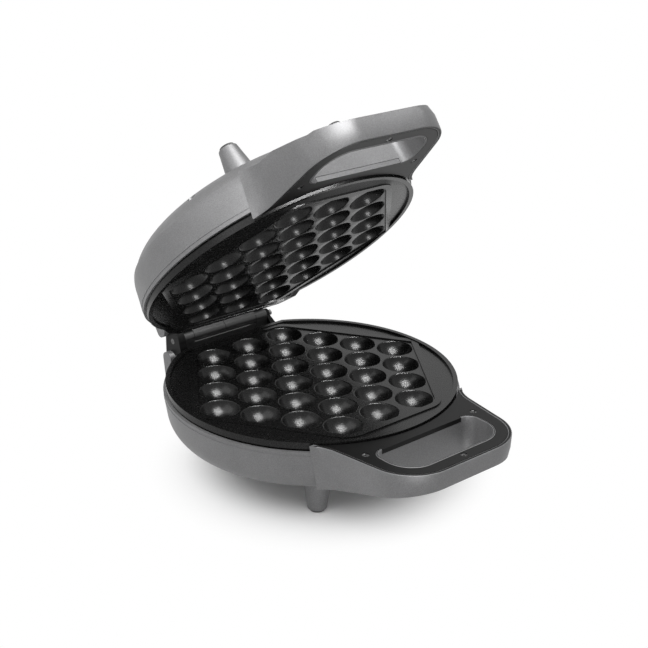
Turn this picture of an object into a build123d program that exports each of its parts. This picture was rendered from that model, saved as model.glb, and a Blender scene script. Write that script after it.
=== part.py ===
"""Bubble waffle maker: two mirrored halves on a rear hinge, each with a front handle.

Millimetres, +Z up, table at z = 0. X runs along the hinge, and the handles point to -Y.
Every piece is modelled closed, in the lower half's position. The upper half's pieces are
mirrored about the parting plane and then turned open about the hinge pin.
"""

import os
from math import atan2, cos, hypot, radians, sin, sqrt, tan

from build123d import *

os.makedirs("parts", exist_ok=True)

# Overall heights
foot_length = 21.4
base_depth = 36.6
lid_depth = 41.0
land_gap = 5.0
handle_edge_drop = 1.8

# Cooking plate: raised rim with a skirt that stands over the housing's edge
rim_radius = 96.4
rim_width = 3.0
rim_height = 1.5
rim_skirt = 4.3
edge_gap = 1.5
rear_cut = 10.4
slab_inset = 3.6
slab_thickness = 12.0

# Lattice of cavities and the bead around it
pitch_x = 30.0
pitch_y = 22.1
row_counts = [3, 4, 5, 6, 5, 4, 3]
cavity_radius = 12.4
cavity_depth = 9.0
cavity_lip = 0.7
bead_offset = 17.5
bead_width = 4.3
bead_height = 0.9

# Housing: drafted bowl with a recessed band under its edge
shell_over_rim = 2.6
shell_draft = 9.0
base_corner = 20.4
lid_corner = 23.5
wall = 2.5
band_height = 2.8
band_recess = 0.3
rim_clearance = 0.6

# Handle, and the necks by which it flows out of the bowl
handle_length = 48.4
handle_bar = 12.2
handle_side = 7.8
handle_corner = 31.0
neck_spread = 12.2
neck_radius = 28.0
neck_join_inset = 29.0
notch_ahead = 1.5
handle_depth = 9.5
neck_depth = 23.0
neck_setback = 1.2
root_depth = 32.0

# Finger slot, its collar and the black frame around it
slot_half_width = 40.5
slot_land = 7.5
slot_front_corner = 17.0
slot_rear_corner = 7.0
collar_wall = 1.6
collar_gap = 0.15
frame_thickness = 3.0
frame_gap = 0.3
frame_recess = 0.2
frame_plate_gap = 1.3
frame_boss_radius = 3.6
frame_screw_front = 7.4
frame_screw_side = 5.0
frame_screw_rear = 1.5
frame_screw_head = 2.2

# Heating under the plate
heater_radius = 50.0
heater_tube = 3.2
heater_clearance = 0.1
heater_rib_width = 12.0
heater_rib_depth = 6.0
heater_opening = 40.0
heater_pin_radius = 1.6
heater_pin_length = 10.0
heater_pin_hole = 3.0
shield_gap = 4.0
shield_flange = 6.0
shield_depth = 12.0
shield_sheet = 1.0
thermostat_radius = 8.0
thermostat_height = 6.0
thermostat_x = 20.0
fuse_radius = 2.2
fuse_length = 16.0
fuse_x = -20.0
terminal_size = (26.0, 10.0, 7.0)
terminal_inset = 8.5

# Feet
foot_circle_inset = 27.0
foot_angle = 53.2
foot_end_radius = 6.2
foot_root_radius = 9.5
foot_edge = 1.1
tip_height = 1.2
tip_radius = 5.0
tip_stem_radius = 2.0
tip_stem_length = 5.0
foot_web = 2.0

# Screws
screw_radius = 1.5
screw_head_radius = 2.8
screw_head_height = 1.6
screw_clearance = 0.1
plate_screw_inset = 7.3
plate_screw_angle = 30.0
plate_boss_radius = 4.6
plate_screw_grip = 15.6
plate_screw_bite = 6.0
frame_head_sink = 0.4
frame_screw_bite = 5.0
hinge_screw_bite = 6.0
screw_tip_gap = 0.5

# Hinge
hinge_setback = 13.0
hinge_rise = 1.0
barrel_radius = 4.2
pin_radius = 2.0
pin_clearance = 0.04
knuckle_inner = 27.2
knuckle_outer = 37.0
knuckle_gap = 0.3
leaf_gap = 1.2
leaf_rear_reach = 2.0
leaf_thickness = 2.5
leaf_drop = 7.0
leg_half_depth = 4.0
ear_thickness = 5.7
ear_radius = 8.2
hinge_block_height = 23.0
hinge_slab = 9.0
hinge_screw_x = 16.0
hinge_screw_inset = 3.8
fin_thickness = 4.0
fin_front = 3.0
fin_rear = 7.0
fin_round = 4.0
fin_rise = 2.0
open_angle = 45.0

# Cord entry
gland_length = 9.5
gland_radius = 5.0
gland_bore = 3.2
gland_boss_radius = 7.0
gland_flange = 2.4

# Indicator lights, on the lid only
lens_x = 9.0
lens_y = -55.0
lens_radius = 3.5
lens_clearance = 0.1
lens_proud = 0.6
board_lift = 3.5
board_size = (44.0, 12.0, 1.6)
board_post_x = 18.0
board_post_radius = 2.4

# Levels that follow from the sizes above
draft = tan(radians(shell_draft))
land_height = foot_length + base_depth
lid_bottom = land_height - lid_depth
parting_z = land_height + land_gap / 2
rim_top = land_height + rim_height
rim_bottom = rim_top - rim_skirt
side_top = rim_bottom - edge_gap
handle_top = parting_z - handle_edge_drop
slab_bottom = land_height - slab_thickness
hinge_z = parting_z + hinge_rise
mirrored_hinge_z = parting_z - hinge_rise
leaf_top = parting_z - leaf_drop
leaf_bottom = leaf_top - leaf_thickness
block_bottom = leaf_bottom - hinge_block_height
pocket_top = leaf_bottom - hinge_slab
gland_z = (pocket_top + block_bottom + wall) / 2
frame_top = handle_top - frame_recess
frame_bottom = frame_top - frame_thickness
plate_head_z = slab_bottom - plate_screw_grip

# Places in plan that follow from them
shell_radius = rim_radius + shell_over_rim
slab_radius = rim_radius - slab_inset
rear_chord = rim_radius - rear_cut
leaf_front = rear_chord + leaf_gap
hinge_y = rear_chord + hinge_setback
leaf_rear = hinge_y + leaf_rear_reach
block_rear = hinge_y + ear_radius
leg_depth = (hinge_y - leg_half_depth, hinge_y + leg_half_depth)
ear_inner = knuckle_outer + knuckle_gap
ear_outer = ear_inner + ear_thickness
ear_relief = hypot(ear_radius, hinge_z - leaf_bottom) + knuckle_gap
handle_reach = shell_radius + handle_length
handle_half_width = slot_half_width + handle_side
neck_half_width = handle_half_width + neck_spread
neck_join_y = neck_join_inset - shell_radius
slot_rear = -(rim_radius + frame_plate_gap + slot_land)
slot_front = handle_bar - handle_reach
neck_depth_y = slot_rear + neck_setback
foot_circle = shell_radius - foot_circle_inset
plate_screw_radius = slab_radius - plate_screw_inset
shield_radius = heater_radius + heater_rib_width / 2 + shield_gap
lattice_y = (len(row_counts) // 2) * pitch_y
screw_hole = screw_radius + screw_clearance
head_hole = screw_head_radius + screw_clearance


def shell_radius_at(z):
    """Outer radius of the drafted bowl at height z."""
    return shell_radius - (handle_top - z) * draft


def neck_start_y():
    """Where the concave neck leaves the round body, in Y at the handle's top."""
    lean = atan2(neck_spread, handle_reach + neck_join_y)
    x = neck_half_width + neck_radius * cos(lean)
    y = neck_join_y - neck_radius * sin(lean)
    along = x * sin(lean) + y * cos(lean)
    reach = along + sqrt(along**2 - x**2 - y**2 + (shell_radius + neck_radius) ** 2)
    return (y - reach * cos(lean)) * shell_radius / (shell_radius + neck_radius)


notch_y = neck_start_y() - notch_ahead


def pair(x, y):
    """Two places mirrored about the middle."""
    return [(-x, y), (x, y)]


def four_around(radius, angle):
    """Four places on a circle, mirrored about both axes."""
    x, y = radius * cos(radians(angle)), radius * sin(radians(angle))
    return pair(x, y) + pair(x, -y)


plate_screw_spots = four_around(plate_screw_radius, plate_screw_angle)
foot_spots = four_around(foot_circle, foot_angle)
hinge_screw_spots = pair(hinge_screw_x, leaf_front + hinge_screw_inset)
frame_screw_spots = [(0.0, frame_screw_front - handle_reach)]
frame_screw_spots += pair(slot_half_width + frame_screw_side, slot_rear + frame_screw_rear)


def upright(spots, radius, low, high, mode=Mode.ADD):
    """Vertical round bosses, pins or holes between two heights."""
    with BuildPart() as bars:
        with BuildSketch(Plane.XY.offset(low)):
            with Locations(*spots):
                Circle(radius)
        extrude(amount=high - low)
    add(bars.part, mode=mode)


def block(x_span, y_span, z_span, mode=Mode.ADD):
    """Rectangular block between two corners."""
    with BuildPart() as solid:
        with BuildSketch(Plane.XY.offset(z_span[0])):
            with Locations(((x_span[0] + x_span[1]) / 2, (y_span[0] + y_span[1]) / 2)):
                Rectangle(x_span[1] - x_span[0], y_span[1] - y_span[0])
        extrude(amount=z_span[1] - z_span[0])
    add(solid.part, mode=mode)


def crosswise(x_span, y, z, radius, mode=Mode.ADD):
    """Round bar along X."""
    with BuildPart() as bar:
        with BuildSketch(Plane.YZ.offset(x_span[0])):
            with Locations((y, z)):
                Circle(radius)
        extrude(amount=x_span[1] - x_span[0])
    add(bar.part, mode=mode)


def rearward(y_span, z, radius, mode=Mode.ADD):
    """Round bar along Y in the middle plane."""
    with BuildPart() as bar:
        with BuildSketch(Plane.XZ.offset(-y_span[0])):
            with Locations((0, z)):
                Circle(radius)
        extrude(amount=-(y_span[1] - y_span[0]))
    add(bar.part, mode=mode)


def side_spans(inner, outer):
    """The left and right spans in X between two distances from the middle."""
    return [(-outer, -inner), (inner, outer)]


def slot_outline(grow=0.0):
    """D-shaped finger slot, with tighter corners on the plate side."""
    with BuildSketch() as slot:
        with Locations((0, (slot_rear + slot_front) / 2)):
            Rectangle(2 * slot_half_width, slot_rear - slot_front)
        fillet(slot.vertices().group_by(Axis.Y)[0], slot_front_corner)
        fillet(slot.vertices().group_by(Axis.Y)[-1], slot_rear_corner)
        if grow:
            offset(amount=grow, mode=Mode.REPLACE)
    return slot.sketch


def slot_prism(grow=0.0):
    """Finger slot as a tall prism, grown outwards by the given amount."""
    with BuildPart() as prism:
        with BuildSketch(Plane.XY):
            add(slot_outline(grow))
        extrude(amount=handle_top + 1)
    return prism.part


def bowl(inset, top, bottom, corner):
    """Solid drafted bowl with a rounded lower corner, drawn in by inset."""
    with BuildPart() as solid:
        with BuildSketch(Plane.XZ) as section:
            with BuildLine():
                Polyline(
                    (0, bottom),
                    (shell_radius_at(bottom) - inset, bottom),
                    (shell_radius_at(top) - inset, top),
                    (0, top),
                    close=True,
                )
            make_face()
            low = section.vertices().group_by(Axis.Y)[0]
            fillet(low.sort_by(Axis.X)[-1], corner - inset)
        revolve(axis=Axis.Z)
    return solid.part


def plan_outline(inset=0.0):
    """Round body flowing through concave necks into the front handle."""
    with BuildSketch() as outline:
        Circle(shell_radius)
        with BuildLine():
            Polyline(
                (-neck_half_width, neck_join_y),
                (-handle_half_width, -handle_reach),
                (handle_half_width, -handle_reach),
                (neck_half_width, neck_join_y),
                close=True,
            )
        make_face()
        fillet(outline.vertices().group_by(Axis.Y)[0], handle_corner)
        necks = outline.vertices().filter_by(lambda v: -shell_radius < v.Y < neck_join_y)
        fillet(necks, neck_radius)
        if inset:
            offset(amount=-inset, mode=Mode.REPLACE)
    return outline.sketch


def handle_solid(inset=0.0, lift=0.0):
    """Drafted handle as far as the notch, its underside falling towards the bowl."""
    with BuildPart() as solid:
        with BuildSketch(Plane.XY.offset(handle_top)):
            add(plan_outline(inset))
        extrude(amount=-root_depth, taper=shell_draft)
        with BuildSketch(Plane.YZ):
            with BuildLine():
                Polyline(
                    (-handle_reach - 1, handle_top),
                    (-handle_reach - 1, handle_top - handle_depth + lift),
                    (neck_depth_y, handle_top - neck_depth + lift),
                    (notch_y, handle_top - root_depth + lift),
                    (notch_y, handle_top),
                    close=True,
                )
            make_face()
        extrude(amount=shell_radius, both=True, mode=Mode.INTERSECT)
    return solid.part


def handle_hollow():
    """Space inside the handle, round the collar of the finger slot."""
    with BuildPart() as hollow:
        add(handle_solid(wall, wall))
        add(slot_prism(collar_wall), mode=Mode.SUBTRACT)
    return hollow.part


def frame_bosses():
    """Posts under the handle frame, cut off level with the handle's underside."""
    with BuildPart() as posts:
        upright(frame_screw_spots, frame_boss_radius, handle_top - root_depth, frame_bottom)
        add(handle_solid(), mode=Mode.INTERSECT)
    return posts.part


def plate_bosses(bottom, corner):
    """Posts under the plate, cut off level with the bowl's outside."""
    with BuildPart() as posts:
        upright(plate_screw_spots, plate_boss_radius, bottom, slab_bottom)
        add(bowl(0, side_top, bottom, corner), mode=Mode.INTERSECT)
    return posts.part


def tapered(x, y, low, low_radius, high, high_radius):
    """Upright cone between two heights."""
    with BuildPart() as cone:
        with BuildSketch(Plane.XY.offset(low)):
            with Locations((x, y)):
                Circle(low_radius)
        with BuildSketch(Plane.XY.offset(high)):
            with Locations((x, y)):
                Circle(high_radius)
        loft()
    return cone.part


def tapered_feet(top):
    """Four tapered feet with rounded lower edges, from the rubber tips up to the bowl's floor."""
    with BuildPart() as feet:
        for x, y in foot_spots:
            add(tapered(x, y, tip_height, foot_end_radius, top, foot_root_radius))
        fillet(feet.edges().group_by(Axis.Z)[0], foot_edge)
    return feet.part


def foot_cores(top):
    """Hollows of the feet, open to the inside of the bowl."""
    low = tip_height + tip_stem_length + foot_web
    with BuildPart() as cores:
        for x, y in foot_spots:
            add(tapered(x, y, low, foot_end_radius - wall, top + 1, foot_root_radius - wall))
    return cores.part


def block_rear_at(z):
    """Rear face of the hinge block at height z, following the draft."""
    return block_rear - (leaf_bottom - z) * draft


def hinge_block(half_width, front, low, high, inset=0.0):
    """Block behind the bowl with a drafted rear face, drawn in by inset."""
    with BuildPart() as solid:
        with BuildSketch(Plane.YZ):
            with BuildLine():
                Polyline(
                    (front, low),
                    (front, high),
                    (block_rear_at(high) - inset, high),
                    (block_rear_at(low) - inset, low),
                    close=True,
                )
            make_face()
        extrude(amount=half_width, both=True)
    return solid.part


def add_fins():
    """Side fins of the hinge block, rounded at the top."""
    low = block_bottom + fin_rise
    front, rear = hinge_y - fin_front, hinge_y + fin_rear
    for span in side_spans(ear_outer, ear_outer + fin_thickness):
        with BuildPart() as fin:
            with BuildSketch(Plane.YZ.offset(span[0])) as face:
                with BuildLine():
                    Polyline(
                        (front, low),
                        (front, leaf_top),
                        (rear, leaf_top),
                        (rear - (leaf_top - low) * draft, low),
                        close=True,
                    )
                make_face()
                fillet(face.vertices().group_by(Axis.Y)[-1], fin_round)
            extrude(amount=span[1] - span[0])
        add(fin.part)


def add_ear(span):
    """Ear with a round head about the hinge pin and a sloping front."""
    with BuildPart() as ear:
        with BuildSketch(Plane.YZ.offset(span[0])):
            with BuildLine():
                Polyline(
                    (leaf_front, leaf_bottom),
                    (hinge_y - ear_radius, hinge_z),
                    (block_rear, hinge_z),
                    (block_rear, leaf_bottom),
                    close=True,
                )
            make_face()
            with Locations((hinge_y, hinge_z)):
                Circle(ear_radius)
        extrude(amount=span[1] - span[0])
    add(ear.part)


def add_shell(bottom, corner):
    """Shell of one housing down to the given bottom."""
    floor = bottom + wall
    add(bowl(0, side_top - band_height, bottom, corner))
    add(bowl(band_recess, side_top, bottom, corner))
    add(handle_solid())
    add(hinge_block(ear_outer, 0, block_bottom, leaf_bottom))
    add(tapered_feet(floor))
    add(bowl(wall, handle_top + 1, floor, corner), mode=Mode.SUBTRACT)
    add(handle_hollow(), mode=Mode.SUBTRACT)
    add(slot_prism(), mode=Mode.SUBTRACT)
    upright([(0, 0)], rim_radius + rim_clearance, side_top, handle_top + 1, mode=Mode.SUBTRACT)
    add(hinge_block(ear_outer - wall, 0, block_bottom + wall, pocket_top, wall), mode=Mode.SUBTRACT)
    add(foot_cores(floor), mode=Mode.SUBTRACT)
    add(hinge_block(ear_outer, leaf_front, pocket_top, leaf_bottom))
    add_fins()
    add(frame_bosses())
    add(plate_bosses(bottom, corner))
    step = slot_half_width - slot_rear_corner
    block((-step, step), (slot_rear - 1, slot_rear + collar_wall + collar_gap),
          (frame_bottom - frame_gap, handle_top + 1), mode=Mode.SUBTRACT)
    block((-ear_inner, ear_inner), (leaf_front - wall, block_rear), (leaf_bottom, handle_top),
          mode=Mode.SUBTRACT)
    upright(plate_screw_spots, screw_hole, 0, slab_bottom + 1, mode=Mode.SUBTRACT)
    upright(plate_screw_spots, head_hole, 0, plate_head_z, mode=Mode.SUBTRACT)
    upright(frame_screw_spots, screw_hole, frame_bottom - frame_screw_bite, frame_bottom + 1,
            mode=Mode.SUBTRACT)
    upright(hinge_screw_spots, screw_hole, leaf_bottom - hinge_screw_bite, leaf_bottom + 1,
            mode=Mode.SUBTRACT)
    upright(foot_spots, tip_stem_radius + screw_clearance, 0, tip_height + tip_stem_length,
            mode=Mode.SUBTRACT)


# Lower housing, with the ears that hold the hinge pin and the cord entry
gland_inner_y = block_rear - gland_length
with BuildPart() as base_housing:
    add_shell(foot_length, base_corner)
    for span in side_spans(ear_inner, ear_outer):
        add_ear(span)
    crosswise((-ear_outer, ear_outer), hinge_y, hinge_z, pin_radius + pin_clearance, mode=Mode.SUBTRACT)
    rearward((gland_inner_y, block_rear), gland_z, gland_boss_radius)
    rearward((gland_inner_y, block_rear), gland_z, gland_radius + screw_clearance, mode=Mode.SUBTRACT)

# Upper housing, cut clear of the ears, with the holes and posts of the indicator lights
lid_floor = lid_bottom + wall
with BuildPart() as lid_housing:
    add_shell(lid_bottom, lid_corner)
    for span in side_spans(knuckle_outer, ear_outer + knuckle_gap):
        crosswise(span, hinge_y, mirrored_hinge_z, ear_relief, mode=Mode.SUBTRACT)
    upright(pair(board_post_x, lens_y), board_post_radius, lid_floor, lid_floor + board_lift)
    upright(pair(lens_x, lens_y), lens_radius + lens_clearance, 0, lid_floor + 1, mode=Mode.SUBTRACT)

# Black frame that lines the handle, stepped down flush with the slot on the plate side
with BuildPart() as handle_frame:
    with BuildSketch(Plane.XY.offset(frame_top)):
        add(plan_outline(wall + frame_gap))
        with Locations((0, notch_y)):
            Rectangle(2 * shell_radius, 2 * handle_reach, align=(Align.CENTER, Align.MAX),
                      mode=Mode.INTERSECT)
    extrude(amount=-frame_thickness, taper=shell_draft)
    with BuildSketch(Plane.XY.offset(frame_bottom - 1)):
        Circle(rim_radius + frame_plate_gap)
        add(slot_outline(collar_wall + collar_gap))
    extrude(amount=frame_thickness + 2, mode=Mode.SUBTRACT)
    tongue = slot_half_width - slot_rear_corner - frame_gap
    block((-tongue, tongue), (slot_rear, slot_rear + slot_land / 2), (frame_bottom, frame_top))
    upright(frame_screw_spots, screw_hole, frame_bottom - 1, frame_top + 1, mode=Mode.SUBTRACT)
    upright(frame_screw_spots, frame_screw_head + screw_clearance,
            frame_top - screw_head_height - frame_head_sink, frame_top + 1, mode=Mode.SUBTRACT)


def plate_outline(inset=0.0, radius=rim_radius):
    """Round plate cut straight at the rear to clear the hinge."""
    with BuildSketch() as outline:
        Circle(radius - inset)
        with Locations((0, rear_chord - inset)):
            Rectangle(2 * rim_radius, 2 * rim_radius, align=(Align.CENTER, Align.MAX), mode=Mode.INTERSECT)
    return outline.sketch


def lattice_hexagon(grow):
    """Outline around the cavity centres at a distance, rounded at its front and rear corners."""
    long_row = (max(row_counts) - 1) / 2 * pitch_x
    short_row = (row_counts[0] - 1) / 2 * pitch_x
    with BuildSketch() as hexagon:
        with BuildLine():
            Polyline(
                (long_row, 0),
                (short_row, lattice_y),
                (-short_row, lattice_y),
                (-long_row, 0),
                (-short_row, -lattice_y),
                (short_row, -lattice_y),
                close=True,
            )
        make_face()
        offset(amount=grow, kind=Kind.INTERSECTION, mode=Mode.REPLACE)
        rows = hexagon.vertices().group_by(Axis.Y)
        fillet(rows[0] + rows[-1], grow)
        add(plate_outline(rim_width / 2), mode=Mode.INTERSECT)
    return hexagon.sketch


def cavity_spots():
    """Centres of the round cavities, row by row from the hinge to the handle."""
    spots = []
    for row, count in enumerate(row_counts):
        y = lattice_y - row * pitch_y
        spots += [((i - (count - 1) / 2) * pitch_x, y) for i in range(count)]
    return spots


def cavity_tool():
    """Solid that cuts one cavity at the origin, land at z = 0, with a rounded lip."""
    ball_radius = (cavity_radius**2 + cavity_depth**2) / (2 * cavity_depth)
    with BuildPart() as tool:
        with BuildSketch(Plane.XZ) as section:
            with Locations((0, ball_radius - cavity_depth)):
                Circle(ball_radius)
            Rectangle(2 * ball_radius, 2 * ball_radius, align=(Align.CENTER, Align.MAX),
                      mode=Mode.INTERSECT)
            Rectangle(2 * (cavity_radius + cavity_lip), bead_height + 1, align=(Align.CENTER, Align.MIN))
            Rectangle(2 * ball_radius, 4 * ball_radius, align=(Align.MIN, Align.CENTER),
                      mode=Mode.INTERSECT)
            edge = section.vertices().sort_by_distance((cavity_radius, 0))[0]
            fillet(edge, cavity_lip)
        revolve(axis=Axis.Z)
    return tool.part


# Cast cooking plate with a raised rim, a hexagonal bead and round cavities
with BuildPart() as cooking_plate:
    with BuildSketch(Plane.XY.offset(slab_bottom)):
        add(plate_outline(radius=slab_radius))
    extrude(amount=slab_thickness)
    with BuildSketch(Plane.XY.offset(rim_bottom)):
        add(plate_outline())
    extrude(amount=land_height - rim_bottom)
    with BuildSketch(Plane.XY.offset(land_height)):
        add(plate_outline())
        add(plate_outline(rim_width), mode=Mode.SUBTRACT)
    extrude(amount=rim_height)
    with BuildSketch(Plane.XY.offset(land_height)):
        add(lattice_hexagon(bead_offset))
        add(lattice_hexagon(bead_offset - bead_width), mode=Mode.SUBTRACT)
    extrude(amount=bead_height)
    with BuildSketch(Plane.XY.offset(slab_bottom)):
        Circle(heater_radius + heater_rib_width / 2)
        Circle(heater_radius - heater_rib_width / 2, mode=Mode.SUBTRACT)
    extrude(amount=-heater_rib_depth)
    with BuildSketch(Plane.XZ):
        with Locations((heater_radius, slab_bottom - heater_rib_depth)):
            Circle(heater_tube + heater_clearance)
    revolve(axis=Axis.Z, mode=Mode.SUBTRACT)
    upright(plate_screw_spots, screw_hole, slab_bottom - 1, slab_bottom + plate_screw_bite,
            mode=Mode.SUBTRACT)
    cavity = cavity_tool()
    with Locations(*[(x, y, land_height) for x, y in cavity_spots()]):
        add(cavity, mode=Mode.SUBTRACT)

# Tubular element in the groove of the plate, open towards the rear, with two pins
heater_z = slab_bottom - heater_rib_depth
pin_turn = radians(90 - heater_opening / 2)
heater_pins = pair(heater_radius * cos(pin_turn), heater_radius * sin(pin_turn))
with BuildPart() as heater:
    with BuildSketch(Plane.XZ.rotated((0, 0, 90 + heater_opening / 2))):
        with Locations((heater_radius, heater_z)):
            Circle(heater_tube)
    revolve(axis=Axis.Z, revolution_arc=360 - heater_opening)
    upright(heater_pins, heater_pin_radius, heater_z - heater_pin_length, heater_z)

# Dished metal shield hung under the plate
with BuildPart() as heat_shield:
    upright([(0, 0)], shield_radius, slab_bottom - shield_depth, slab_bottom)
    upright([(0, 0)], shield_radius + shield_flange, slab_bottom - shield_sheet, slab_bottom)
    upright([(0, 0)], shield_radius - shield_sheet, slab_bottom - shield_depth + shield_sheet,
            slab_bottom + 1, mode=Mode.SUBTRACT)
    upright(heater_pins, heater_pin_hole, 0, slab_bottom, mode=Mode.SUBTRACT)

with BuildPart() as thermostat:
    upright([(thermostat_x, 0)], thermostat_radius, slab_bottom - thermostat_height, slab_bottom)

with BuildPart() as thermal_fuse:
    fuse_span = (fuse_x - fuse_length / 2, fuse_x + fuse_length / 2)
    crosswise(fuse_span, 0, slab_bottom - fuse_radius, fuse_radius)

# Terminal block on the flat part of the base's floor, towards the hinge
with BuildPart() as terminal_block:
    length, width, height = terminal_size
    base_floor = foot_length + wall
    flat_radius = shell_radius_at(foot_length + base_corner) - base_corner / cos(radians(shell_draft))
    terminal_y = flat_radius - terminal_inset
    block((-length / 2, length / 2), (terminal_y - width / 2, terminal_y + width / 2),
          (base_floor, base_floor + height))

with BuildPart() as foot_tips:
    upright(foot_spots, tip_radius, 0, tip_height)
    upright(foot_spots, tip_stem_radius, tip_height, tip_height + tip_stem_length)

# Hinge: two outer knuckles below, two inner ones above, on one pin
bore = pin_radius + pin_clearance


def add_leaf():
    """Flat leaf of a hinge bracket, in the lower half's position."""
    block((-knuckle_outer, knuckle_outer), (leaf_front, leaf_rear), (leaf_bottom, leaf_top))


with BuildPart() as base_hinge_bracket:
    add_leaf()
    for span in side_spans(knuckle_inner, knuckle_outer):
        block(span, leg_depth, (leaf_top - leaf_thickness / 2, hinge_z))
        crosswise(span, hinge_y, hinge_z, barrel_radius)
    crosswise((-knuckle_outer, knuckle_outer), hinge_y, hinge_z, bore, mode=Mode.SUBTRACT)
    upright(hinge_screw_spots, screw_hole, leaf_bottom, leaf_top, mode=Mode.SUBTRACT)

with BuildPart() as lid_hinge_bracket:
    add_leaf()
    reach = knuckle_inner - knuckle_gap
    for span in side_spans(knuckle_gap / 2, reach):
        block(span, leg_depth, (leaf_top - leaf_thickness / 2, mirrored_hinge_z))
        crosswise(span, hinge_y, mirrored_hinge_z, barrel_radius)
    crosswise((-reach, reach), hinge_y, mirrored_hinge_z, bore, mode=Mode.SUBTRACT)
    upright(hinge_screw_spots, screw_hole, leaf_bottom, leaf_top, mode=Mode.SUBTRACT)

with BuildPart() as hinge_pin:
    crosswise((-ear_outer, ear_outer), hinge_y, hinge_z, pin_radius)

# Cord bush at the rear, with no cord
with BuildPart() as inlet_gland:
    rearward((gland_inner_y, block_rear), gland_z, gland_radius)
    rearward((block_rear, block_rear + gland_flange), gland_z, gland_boss_radius)
    rearward((gland_inner_y, block_rear + gland_flange), gland_z, gland_bore, mode=Mode.SUBTRACT)


def add_screws(spots, head_radius, head_z, length, up):
    """Pan-head screws whose heads seat at head_z, driven up or down."""
    sign = 1 if up else -1
    upright(spots, head_radius, *sorted((head_z, head_z - sign * screw_head_height)))
    upright(spots, screw_radius, *sorted((head_z, head_z + sign * length)))


with BuildPart() as plate_screws:
    reach = plate_screw_grip + plate_screw_bite - screw_tip_gap
    add_screws(plate_screw_spots, screw_head_radius, plate_head_z, reach, True)

with BuildPart() as frame_screws:
    seat = frame_top - screw_head_height - frame_head_sink
    reach = seat - frame_bottom + frame_screw_bite - screw_tip_gap
    add_screws(frame_screw_spots, frame_screw_head, seat, reach, False)

with BuildPart() as hinge_screws:
    reach = leaf_thickness + hinge_screw_bite - screw_tip_gap
    add_screws(hinge_screw_spots, screw_head_radius, leaf_top, reach, False)

# Indicator lights
lens_bottom = lid_bottom - lens_proud
board_z = lid_floor + board_lift


def lens(x):
    """Round light window through the housing wall, resting on the lamp board."""
    with BuildPart() as window:
        upright([(x, lens_y)], lens_radius, lens_bottom, board_z)
    return window.part


with BuildPart() as lamp_board:
    length, width, thickness = board_size
    block((-length / 2, length / 2), (lens_y - width / 2, lens_y + width / 2),
          (board_z, board_z + thickness))

lower = {
    "base_housing": base_housing.part,
    "base_handle_frame": handle_frame.part,
    "base_plate": cooking_plate.part,
    "base_heater": heater.part,
    "base_heat_shield": heat_shield.part,
    "base_foot_tips": foot_tips.part,
    "base_hinge_bracket": base_hinge_bracket.part,
    "base_plate_screws": plate_screws.part,
    "base_frame_screws": frame_screws.part,
    "base_hinge_screws": hinge_screws.part,
    "thermostat": thermostat.part,
    "thermal_fuse": thermal_fuse.part,
    "terminal_block": terminal_block.part,
    "inlet_gland": inlet_gland.part,
    "hinge_pin": hinge_pin.part,
}
upper = {
    "lid_housing": lid_housing.part,
    "lid_handle_frame": handle_frame.part,
    "lid_plate": cooking_plate.part,
    "lid_heater": heater.part,
    "lid_heat_shield": heat_shield.part,
    "lid_foot_tips": foot_tips.part,
    "lid_hinge_bracket": lid_hinge_bracket.part,
    "lid_plate_screws": plate_screws.part,
    "lid_frame_screws": frame_screws.part,
    "lid_hinge_screws": hinge_screws.part,
    "power_lens": lens(-lens_x),
    "ready_lens": lens(lens_x),
    "lamp_board": lamp_board.part,
}

hinge_axis = Axis((0, hinge_y, hinge_z), (-1, 0, 0))
pieces = dict(lower)
for name, piece in upper.items():
    closed = piece.mirror(Plane.XY.offset(parting_z))
    pieces[name] = closed.rotate(hinge_axis, open_angle)

# The origin lies on the table under the middle of the open part's box
boxes = [piece.bounding_box() for piece in pieces.values()]
middle_y = (min(b.min.Y for b in boxes) + max(b.max.Y for b in boxes)) / 2
for name, piece in pieces.items():
    placed = piece.moved(Location((0, -middle_y, 0)))
    placed.label = name
    export_step(placed, f"parts/{name}.step")

print("origin moved by", round(-middle_y, 3), "hinge at", round(hinge_y - middle_y, 3), round(hinge_z, 3))
print("lowest", round(min(b.min.Z for b in boxes), 3), "highest", round(max(b.max.Z for b in boxes), 3))
print("notch at", round(notch_y, 3), "foot at", [round(v, 3) for v in foot_spots[2]], "gland at", round(gland_z, 3))
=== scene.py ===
# %% [markdown]
# # Bubble waffle maker, dressed for a studio picture
#
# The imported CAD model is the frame: every housing, plate and hinge piece is already in place,
# in metres, with the table at z = 0 and the handles towards -Y. This lesson looks at it from the
# photograph's place, gives each piece its finish, reshapes a few copies by hand and adds the
# small things that a solid model leaves out.

# %% Load the frame
from math import radians

import bpy
from mathutils import Matrix, Vector


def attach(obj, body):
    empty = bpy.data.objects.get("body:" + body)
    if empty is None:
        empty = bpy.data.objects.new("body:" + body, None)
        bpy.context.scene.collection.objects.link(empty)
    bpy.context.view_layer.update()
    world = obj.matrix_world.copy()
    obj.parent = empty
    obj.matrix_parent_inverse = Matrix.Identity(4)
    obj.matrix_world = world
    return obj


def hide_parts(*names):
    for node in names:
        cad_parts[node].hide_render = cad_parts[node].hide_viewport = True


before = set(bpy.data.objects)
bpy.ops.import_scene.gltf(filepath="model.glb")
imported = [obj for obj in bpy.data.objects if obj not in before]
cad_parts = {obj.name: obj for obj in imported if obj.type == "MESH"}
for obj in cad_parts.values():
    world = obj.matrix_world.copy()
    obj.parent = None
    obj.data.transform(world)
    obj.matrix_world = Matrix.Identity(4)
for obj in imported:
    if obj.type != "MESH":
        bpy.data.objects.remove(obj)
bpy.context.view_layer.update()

# %% [markdown]
# ## The camera
#
# The photograph was taken with a long lens from the front left, a little above the lid's edge.
# The place and the three directions come from fitting a pinhole camera to the cavities. A camera
# looks along its own -Z, so its matrix holds right, up and backward as columns.

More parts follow.
